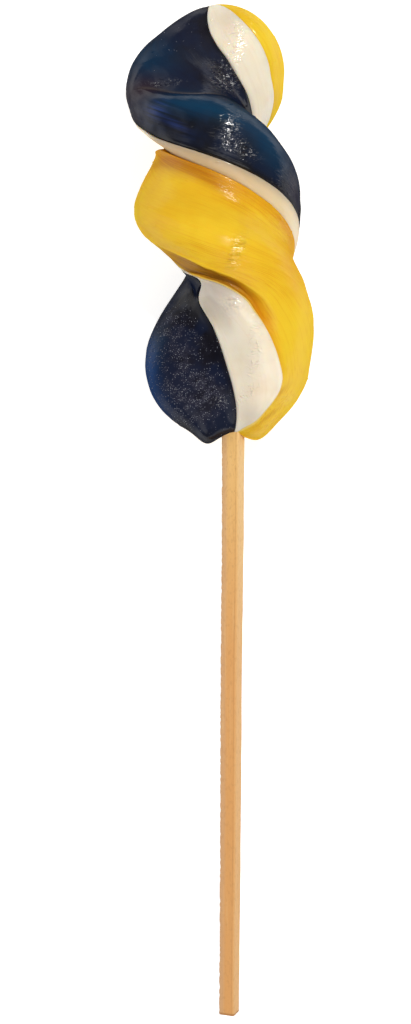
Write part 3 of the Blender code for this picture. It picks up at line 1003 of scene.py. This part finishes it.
def stickWood():
    made, tree, shader = newMaterial("pale stick wood")
    place = objectPlace(tree)
    _, y, _ = parts(place)
    across = kept(tree, "acrossStick")
    grain = streaks(place, 0.35, 16.0, 4.0, 0.6, 0.4)
    fibre = streaks(place, 0.10, 5.0)
    mottle = streaks(place, 0.5, 0.9, 2.0, 0.5)
    marks = streaks(place, 0.35, 1.1, 2.0, 0.5)
    nearCandy = smooth(y, -35 * mm, 25 * mm)
    # painted shade on the left face and painted light on the right face
    shadedLeftFace = 1.0 - smooth(across + (grain - 0.5) * 0.2, -0.50, -0.22)
    litRightFace = smooth(across, 0.14, 0.30)
    corner = bell(across, 0.13, 0.03)
    spots = smooth(marks, 0.62, 0.70) * smooth(y, -35 * mm, 5 * mm)
    cutEnd = 1.0 - smooth(y, -100.2 * mm, -99.9 * mm)
    colour = layered(
        tree, stick["wood"],
        (stick["fresh"], nearCandy),
        # painted shade on the left face, painted light on the right face
        (stick["shadePink"], shadedLeftFace * 0.75),
        (stick["pale"], litRightFace * mixed(0.35, 0.7, nearCandy)),
        (stick["pale"], smooth(grain, 0.5, 0.75) * 0.3),
        (stick["brown"], smooth(fibre, 0.55, 0.78) * 0.32 + smooth(mottle, 0.5, 0.72) * 0.2),
        (stick["brown"], corner * mixed(0.15, 0.4, smooth(grain, 0.4, 0.6))),
        (stick["brown"], spots * (1.0 - litRightFace) * 0.35),
        (stick["pale"], spots * litRightFace * 0.8),
        (stick["brown"], cutEnd * 0.8))
    filled(tree, shader, {
        "Base Color": colour, "Roughness": mixed(0.55, 0.75, grain), "Specular IOR Level": 0.3,
        "Normal": bumpy(tree, grain * 0.05 + fibre * 0.03, 1.0 * mm)})
    return made


woodStick = makeStick()
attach(woodStick, "root")
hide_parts("stick")
print("stick cut:", len(woodStick.data.polygons), "faces")


# Loose sugar on the blue: grains to a square metre, and the smallest and largest in mm.
dust = {
    "density": 7e6, "small": 0.03, "large": 0.08, "flatness": 0.6,
    "colour": (0.34, 0.355, 0.39), "seed": 7,
}


def dustTree():
    tree, entry, leave = newTree("Scatter The Sugar Dust", [
        ("Density", "Float"), ("Small", "Float"), ("Large", "Float"), ("Seed", "Int"),
        ("Material", "Material")])
    given = {output.name: Field(tree, output) for output in entry.outputs}
    where = tree.nodes.new("GeometryNodeInputPosition")
    place = Field(tree, where.outputs[0])
    bloom = patches(place, blueSugar["patches"]["bloom"])
    clumps = smooth(cloudy(place, blueSugar["clumps"]), 0.38, 0.62)
    above = smooth(parts(place)[2], 8 * mm, 14 * mm)
    points = geometryNode(tree, "DistributePointsOnFaces", entry.outputs[0],
                          Density=bloom * clumps * above * given["Density"], Seed=given["Seed"])
    grain = newNode(tree, "GeometryNodeMeshIcoSphere", Radius=mm, Subdivisions=1)
    chance = tree.nodes.new("FunctionNodeRandomValue")
    chance.data_type = "FLOAT"
    plug(tree, chance.inputs[2], given["Small"])
    plug(tree, chance.inputs[3], given["Large"])
    plug(tree, chance.inputs["Seed"], given["Seed"])
    size = Field(tree, chance.outputs[1])
    laid = geometryNode(tree, "InstanceOnPoints", points.outputs[0],
                        Scale=xyz(tree, size, size, size * dust["flatness"]))
    tree.links.new(grain.outputs[0], laid.inputs["Instance"])
    tree.links.new(points.outputs["Rotation"], laid.inputs["Rotation"])
    real = geometryNode(tree, "RealizeInstances", laid.outputs[0])
    painted = geometryNode(tree, "SetMaterial", real.outputs[0], Material=given["Material"])
    tree.links.new(painted.outputs[0], leave.inputs[0])
    return tree


def dustSugar():
    made, tree, shader = newMaterial("sugar dust")
    tint = cloudy(objectPlace(tree), 0.5)
    colour = mixColour(tree, dust["colour"], blueSugar["bloom"], smooth(tint, 0.35, 0.65))
    filled(tree, shader, {"Base Color": colour, "Roughness": mixed(0.3, 0.6, tint)})
    return made


sugarDust = placed("sugarDust", bpy.data.objects["blueRope"].data.copy())
runTree(sugarDust, dustTree(), **{
    "Density": dust["density"], "Small": dust["small"], "Large": dust["large"], "Seed": dust["seed"],
    "Material": dustSugar()})
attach(sugarDust, "root")
print("sugar dust scattered:", len(sugarDust.data.polygons), "faces")


studio = {
    "floor": (0.6, 0.6, 0.6, 1), "floorGlow": 0.80, "floorHalf": 3.0, "floorDrop": 0.5 * mm,
    "room": (0.9, 0.95, 1.0, 1), "roomGlow": 0.22,
    # each lamp's place and aim in metres, size, power in watts and colour
    "lamps": {
        "front lamp": ((0.15, 0.19, 0.60), (0, 0.04, 0), 0.05, 2.55, (1.0, 0.97, 0.93)),
        "left window": ((-0.60, 0.16, 0.25), (0, 0.05, 0), 0.6, 0.6, (0.95, 0.96, 1.0)),
        "front fill": ((-0.05, -0.45, 0.55), (0, 0.03, 0), 0.7, 1.5, (1.0, 0.97, 0.93)),
    },
}


def softbox(name, place, aim, size, power, colour):
    light = bpy.data.lights.new(name, "AREA")
    light.shape = "DISK"
    light.size = size
    light.energy = power
    light.color = colour
    lamp = placed(name, light)
    lamp.location = place
    lamp.rotation_euler = (Vector(aim) - Vector(place)).to_track_quat("-Z", "Y").to_euler()


half, drop = studio["floorHalf"], studio["floorDrop"]
floorCorners = [(-half, -half, -drop), (half, -half, -drop), (half, half, -drop), (-half, half, -drop)]
floor = newPiece("floor", floorCorners, [(0, 1, 2, 3)])
floorPaint, floorTree, floorShader = newMaterial("pale floor")
filled(floorTree, floorShader, {
    "Base Color": studio["floor"], "Roughness": 0.9, "Specular IOR Level": 0.1,
    "Emission Color": (1.0, 1.0, 1.0, 1), "Emission Strength": studio["floorGlow"]})
floor.data.materials.append(floorPaint)

world = bpy.data.worlds.new("studio")
world.use_nodes = True
filled(world.node_tree, world.node_tree.nodes["Background"], {
    "Color": studio["room"], "Strength": studio["roomGlow"]})
bpy.context.scene.world = world
for name, settings in studio["lamps"].items():
    softbox(name, *settings)
print("studio lit:", len(studio["lamps"]), "lamps")

camera = {
    "height": 280 * mm, "place": (-1.9 * mm, -100.7 * mm),
    "lens": 49.2, "sensor": 36, "nearest": 10 * mm,
}
lens = bpy.data.cameras.new("camera")
lens.lens = camera["lens"]
lens.sensor_width = camera["sensor"]
lens.clip_start = camera["nearest"]
shooter = placed("camera", lens)
shooter.matrix_world = layDown @ Matrix.Translation((*camera["place"], camera["height"]))
bpy.context.scene.camera = shooter
bpy.context.scene.view_settings.view_transform = "Standard"
print("camera placed")
